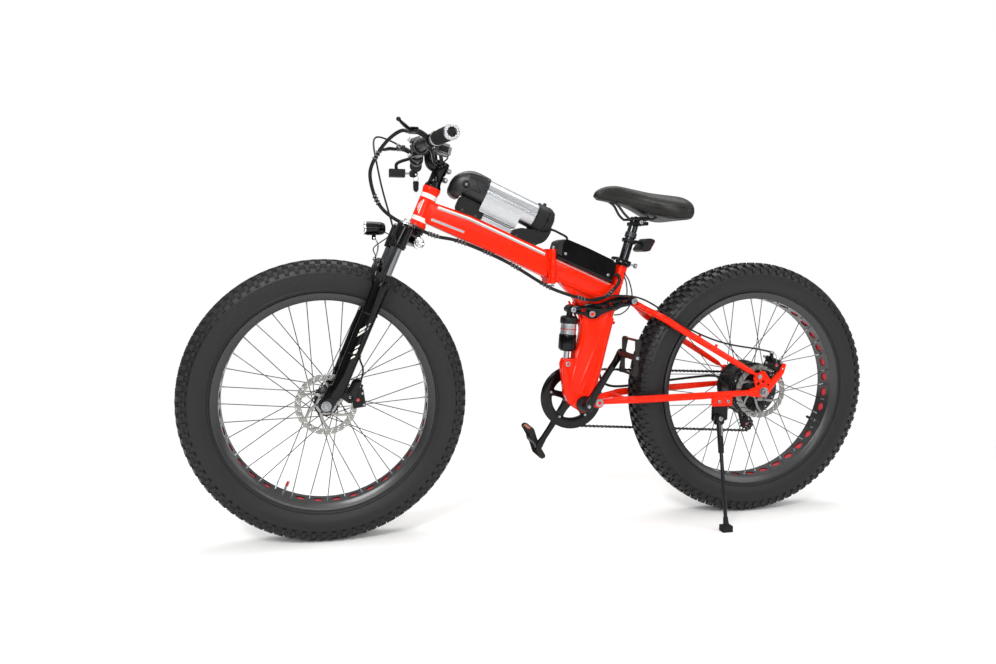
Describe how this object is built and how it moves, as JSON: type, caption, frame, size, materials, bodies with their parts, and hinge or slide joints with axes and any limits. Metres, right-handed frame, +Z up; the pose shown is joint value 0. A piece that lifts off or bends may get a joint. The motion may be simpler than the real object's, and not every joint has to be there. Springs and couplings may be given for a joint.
{
  "type": "folding fat-tyre electric bicycle",
  "caption": "Folding fat-tyre bicycle with bottle battery, rear hub motor, suspension fork, rear linkage shock, disc brakes and kickstand.",
  "frame": {"origin": "on the ground, midway between the two axles, in the bicycle's middle plane", "axes": "+X to the rear, +Y to the rider's right (chain side), +Z up"},
  "size_m": [1.9898, 0.6632, 1.0871],
  "materials": {
    "battery_cap": "black fine grain",
    "battery_case": "brushed silver sleeve",
    "battery_dock": "black fine grain",
    "battery_lead": "black sheath",
    "brake_cable_front": "black sheath",
    "brake_cable_rear": "black sheath",
    "brake_lever_left": "polished",
    "brake_lever_right": "polished",
    "chain": "oiled steel",
    "chainring": "black",
    "controller_box": "black moulded box with ribs",
    "crank_set": "black",
    "derailleur": "black",
    "fold_latch": "satin",
    "fork_crown": "gloss black",
    "fork_lowers": "gloss black",
    "freewheel": "steel",
    "front_axle": "dark steel",
    "front_caliper": "satin black",
    "front_frame": "gloss red enamel",
    "front_hub_rotor": "ground steel",
    "front_rim": "gloss black, red tape in the windows",
    "front_tyre": "knobbly tread",
    "gear_pod": "dark grey",
    "gear_trigger": "black",
    "grip_left": "black rubber",
    "handlebar": "satin black",
    "harness_front": "black sheath",
    "harness_rear": "black sheath",
    "headlight": "black with a clear lens",
    "horn": "black",
    "hub_motor": "satin black",
    "ignition_key": "black bow with steel blade",
    "key_switch": "black",
    "kickstand": "black",
    "lever_clamp_left": "satin black",
    "lever_clamp_right": "satin black",
    "light_strap": "bright",
    "pedal_left": "black",
    "pedal_right": "black",
    "rear_axle": "dark steel",
    "rear_caliper": "satin black",
    "rear_frame": "gloss red enamel",
    "rear_light": "black body, red lens",
    "rear_rim": "gloss black, red tape in the windows",
    "rear_rotor": "ground steel",
    "rear_tyre": "knobbly tread",
    "rocker_link": "black anodised",
    "saddle": "black cover",
    "saddle_rails": "dark steel",
    "seat_clamp": "polished",
    "seat_lever": "black",
    "seat_stays": "gloss red enamel",
    "seatpost": "gloss black",
    "shock_can": "black and silver",
    "shock_shaft": "polished",
    "stem": "satin black",
    "swingarm": "gloss red enamel",
    "throttle_grip": "black rubber",
    "throttle_housing": "black"
  },
  "bodies": {
    "rear_frame": {"rear_frame": "rear_frame", "controller_box": "controller_box", "seat_clamp": "seat_clamp", "chain": "chain", "shock_shaft": "shock_shaft", "harness_front": "harness_front", "battery_lead": "battery_lead", "harness_rear": "harness_rear"},
    "seat_lever": {"seat_lever": "seat_lever"},
    "front_frame": {"front_frame": "front_frame", "battery_dock": "battery_dock"},
    "fold_latch": {"fold_latch": "fold_latch"},
    "battery": {"battery_case": "battery_case", "battery_cap": "battery_cap"},
    "steering": {"fork_crown": "fork_crown", "horn": "horn", "stem": "stem", "handlebar": "handlebar", "grip_left": "grip_left", "lever_clamp_left": "lever_clamp_left", "lever_clamp_right": "lever_clamp_right", "gear_pod": "gear_pod", "throttle_housing": "throttle_housing", "key_switch": "key_switch", "brake_cable_front": "brake_cable_front"},
    "lever_left": {"brake_lever_left": "brake_lever_left"},
    "lever_right": {"brake_lever_right": "brake_lever_right"},
    "throttle": {"throttle_grip": "throttle_grip"},
    "key": {"ignition_key": "ignition_key"},
    "gear_trigger": {"gear_trigger": "gear_trigger"},
    "fork_lowers": {"fork_lowers": "fork_lowers", "front_axle": "front_axle", "front_caliper": "front_caliper", "light_strap": "light_strap"},
    "headlight": {"headlight": "headlight"},
    "front_wheel": {"front_tyre": "front_tyre", "front_rim": "front_rim", "front_hub_rotor": "front_hub_rotor"},
    "swingarm": {"swingarm": "swingarm", "rear_axle": "rear_axle", "rear_caliper": "rear_caliper", "brake_cable_rear": "brake_cable_rear"},
    "rear_wheel": {"rear_tyre": "rear_tyre", "rear_rim": "rear_rim", "hub_motor": "hub_motor", "rear_rotor": "rear_rotor"},
    "freewheel": {"freewheel": "freewheel"},
    "derailleur": {"derailleur": "derailleur"},
    "kickstand": {"kickstand": "kickstand"},
    "seat_stays": {"seat_stays": "seat_stays"},
    "rocker": {"rocker_link": "rocker_link"},
    "shock": {"shock_can": "shock_can"},
    "crank": {"crank_set": "crank_set", "chainring": "chainring"},
    "pedal_left": {"pedal_left": "pedal_left"},
    "pedal_right": {"pedal_right": "pedal_right"},
    "seatpost": {"seatpost": "seatpost", "saddle_rails": "saddle_rails", "saddle": "saddle", "rear_light": "rear_light"}
  },
  "joints": [
    {"name": "frame_fold", "type": "hinge", "parent": "rear_frame", "child": "front_frame", "pos_m": [-0.008, -0.037, 0.735], "axis": [0, 0, 1], "range_deg": [0, 110], "deforming": ["harness_front", "battery_lead"]},
    {"name": "fold_latch_swing", "type": "hinge", "parent": "front_frame", "child": "fold_latch", "pos_m": [-0.022, 0.036, 0.735], "axis": [0, 0, 1], "range_deg": [0, 110]},
    {"name": "battery_slide", "type": "slide", "parent": "front_frame", "child": "battery", "axis": [0.9143, 0, -0.4051], "range_m": [-0.0075, 0]},
    {"name": "steering_turn", "type": "hinge", "parent": "front_frame", "child": "steering", "pos_m": [-0.38104, 0, 0.83412], "axis": [0.3827, 0, 0.9239], "range_deg": [-45, 45], "deforming": ["harness_front"]},
    {"name": "lever_left_squeeze", "type": "hinge", "parent": "steering", "child": "lever_left", "pos_m": [-0.40371, -0.158, 1.06473], "axis": [0, 0, 1], "range_deg": [0, 20], "stiffness_Nm_per_rad": 0.8, "springref_deg": -11.46},
    {"name": "lever_right_squeeze", "type": "hinge", "parent": "steering", "child": "lever_right", "pos_m": [-0.40371, 0.158, 1.06473], "axis": [0, 0, -1], "range_deg": [0, 20], "stiffness_Nm_per_rad": 0.8, "springref_deg": -11.46},
    {"name": "throttle_twist", "type": "hinge", "parent": "steering", "child": "throttle", "pos_m": [-0.34726, 0.262, 1.03925], "axis": [0.1104, 0.9932, -0.0368], "range_deg": [-60, 0], "stiffness_Nm_per_rad": 0.25, "springref_deg": 17.19},
    {"name": "key_turn", "type": "hinge", "parent": "steering", "child": "key", "pos_m": [-0.39571, 0.128, 0.99173], "axis": [1, 0, 0], "range_deg": [0, 60]},
    {"name": "gear_trigger_push", "type": "hinge", "parent": "steering", "child": "gear_trigger", "pos_m": [-0.33971, -0.167, 1.01373], "axis": [0, 1, 0], "range_deg": [0, 25], "stiffness_Nm_per_rad": 0.3, "springref_deg": -11.46},
    {"name": "fork_travel", "type": "slide", "parent": "steering", "child": "fork_lowers", "axis": [0.3827, 0, 0.9239], "range_m": [0, 0.05], "stiffness_N_per_m": 8000, "springref_m": -0.04, "deforming": ["brake_cable_front"]},
    {"name": "headlight_tilt", "type": "hinge", "parent": "fork_lowers", "child": "headlight", "pos_m": [-0.49244, 0, 0.80558], "axis": [0, 1, 0], "range_deg": [-20, 20]},
    {"name": "front_wheel_spin", "type": "hinge", "parent": "fork_lowers", "child": "front_wheel", "pos_m": [-0.621, 0, 0.375], "axis": [0, 1, 0], "continuous": true},
    {"name": "swingarm_travel", "type": "hinge", "parent": "rear_frame", "child": "swingarm", "pos_m": [0.133, 0, 0.351], "axis": [0, -1, 0], "range_deg": [0, 5.7], "stiffness_Nm_per_rad": 5000, "springref_deg": -2.29, "deforming": ["chain", "brake_cable_rear", "harness_rear"]},
    {"name": "rear_wheel_spin", "type": "hinge", "parent": "swingarm", "child": "rear_wheel", "pos_m": [0.621, 0, 0.375], "axis": [0, 1, 0], "continuous": true},
    {"name": "freewheel_spin", "type": "hinge", "parent": "swingarm", "child": "freewheel", "pos_m": [0.621, 0.062, 0.375], "axis": [0, 1, 0], "continuous": true, "deforming": ["chain"]},
    {"name": "derailleur_swing", "type": "hinge", "parent": "swingarm", "child": "derailleur", "pos_m": [0.633, 0.093, 0.345], "axis": [0, 1, 0], "range_deg": [-8, 12], "stiffness_Nm_per_rad": 3, "deforming": ["chain"]},
    {"name": "kickstand_fold", "type": "hinge", "parent": "swingarm", "child": "kickstand", "pos_m": [0.474, -0.106, 0.303], "axis": [0, -0.9688, 0.2479], "range_deg": [0, 72]},
    {"name": "seat_stay_pivot", "type": "hinge", "parent": "swingarm", "child": "seat_stays", "pos_m": [0.602, 0, 0.421], "axis": [0, -1, 0], "range_deg": [-4.1, 0]},
    {"name": "rocker_turn", "type": "hinge", "parent": "rear_frame", "child": "rocker", "pos_m": [0.111, 0, 0.602], "axis": [0, -1, 0], "range_deg": [0, 17.1]},
    {"name": "shock_slide", "type": "slide", "parent": "rear_frame", "child": "shock", "axis": [-0.0648, 0, -0.9979], "range_m": [0, 0.0168]},
    {"name": "crank_turn", "type": "hinge", "parent": "rear_frame", "child": "crank", "pos_m": [0.086, 0, 0.35], "axis": [0, 1, 0], "continuous": true, "deforming": ["chain"]},
    {"name": "pedal_left_spin", "type": "hinge", "parent": "crank", "child": "pedal_left", "pos_m": [0.17459, -0.15, 0.49743], "axis": [0, 1, 0], "continuous": true},
    {"name": "pedal_right_spin", "type": "hinge", "parent": "crank", "child": "pedal_right", "pos_m": [-0.00259, 0.15, 0.20257], "axis": [0, 1, 0], "continuous": true},
    {"name": "seatpost_height", "type": "slide", "parent": "rear_frame", "child": "seatpost", "axis": [0.2773, 0, 0.9608], "range_m": [-0.018, 0.06]},
    {"name": "seat_lever_open", "type": "hinge", "parent": "rear_frame", "child": "seat_lever", "pos_m": [0.18809, -0.023, 0.75263], "axis": [0.2773, 0, 0.9608], "range_deg": [0, 65]}
  ],
  "couplings": [
    {"joint": "rocker_turn", "follows": "swingarm_travel", "ratio": 2.991},
    {"joint": "seat_stay_pivot", "follows": "swingarm_travel", "ratio": -0.712},
    {"joint": "shock_slide", "follows": "swingarm_travel", "m_per_rad": 0.1684},
    {"joint": "freewheel_spin", "follows": "crank_turn", "ratio": 2.3333}
  ]
}
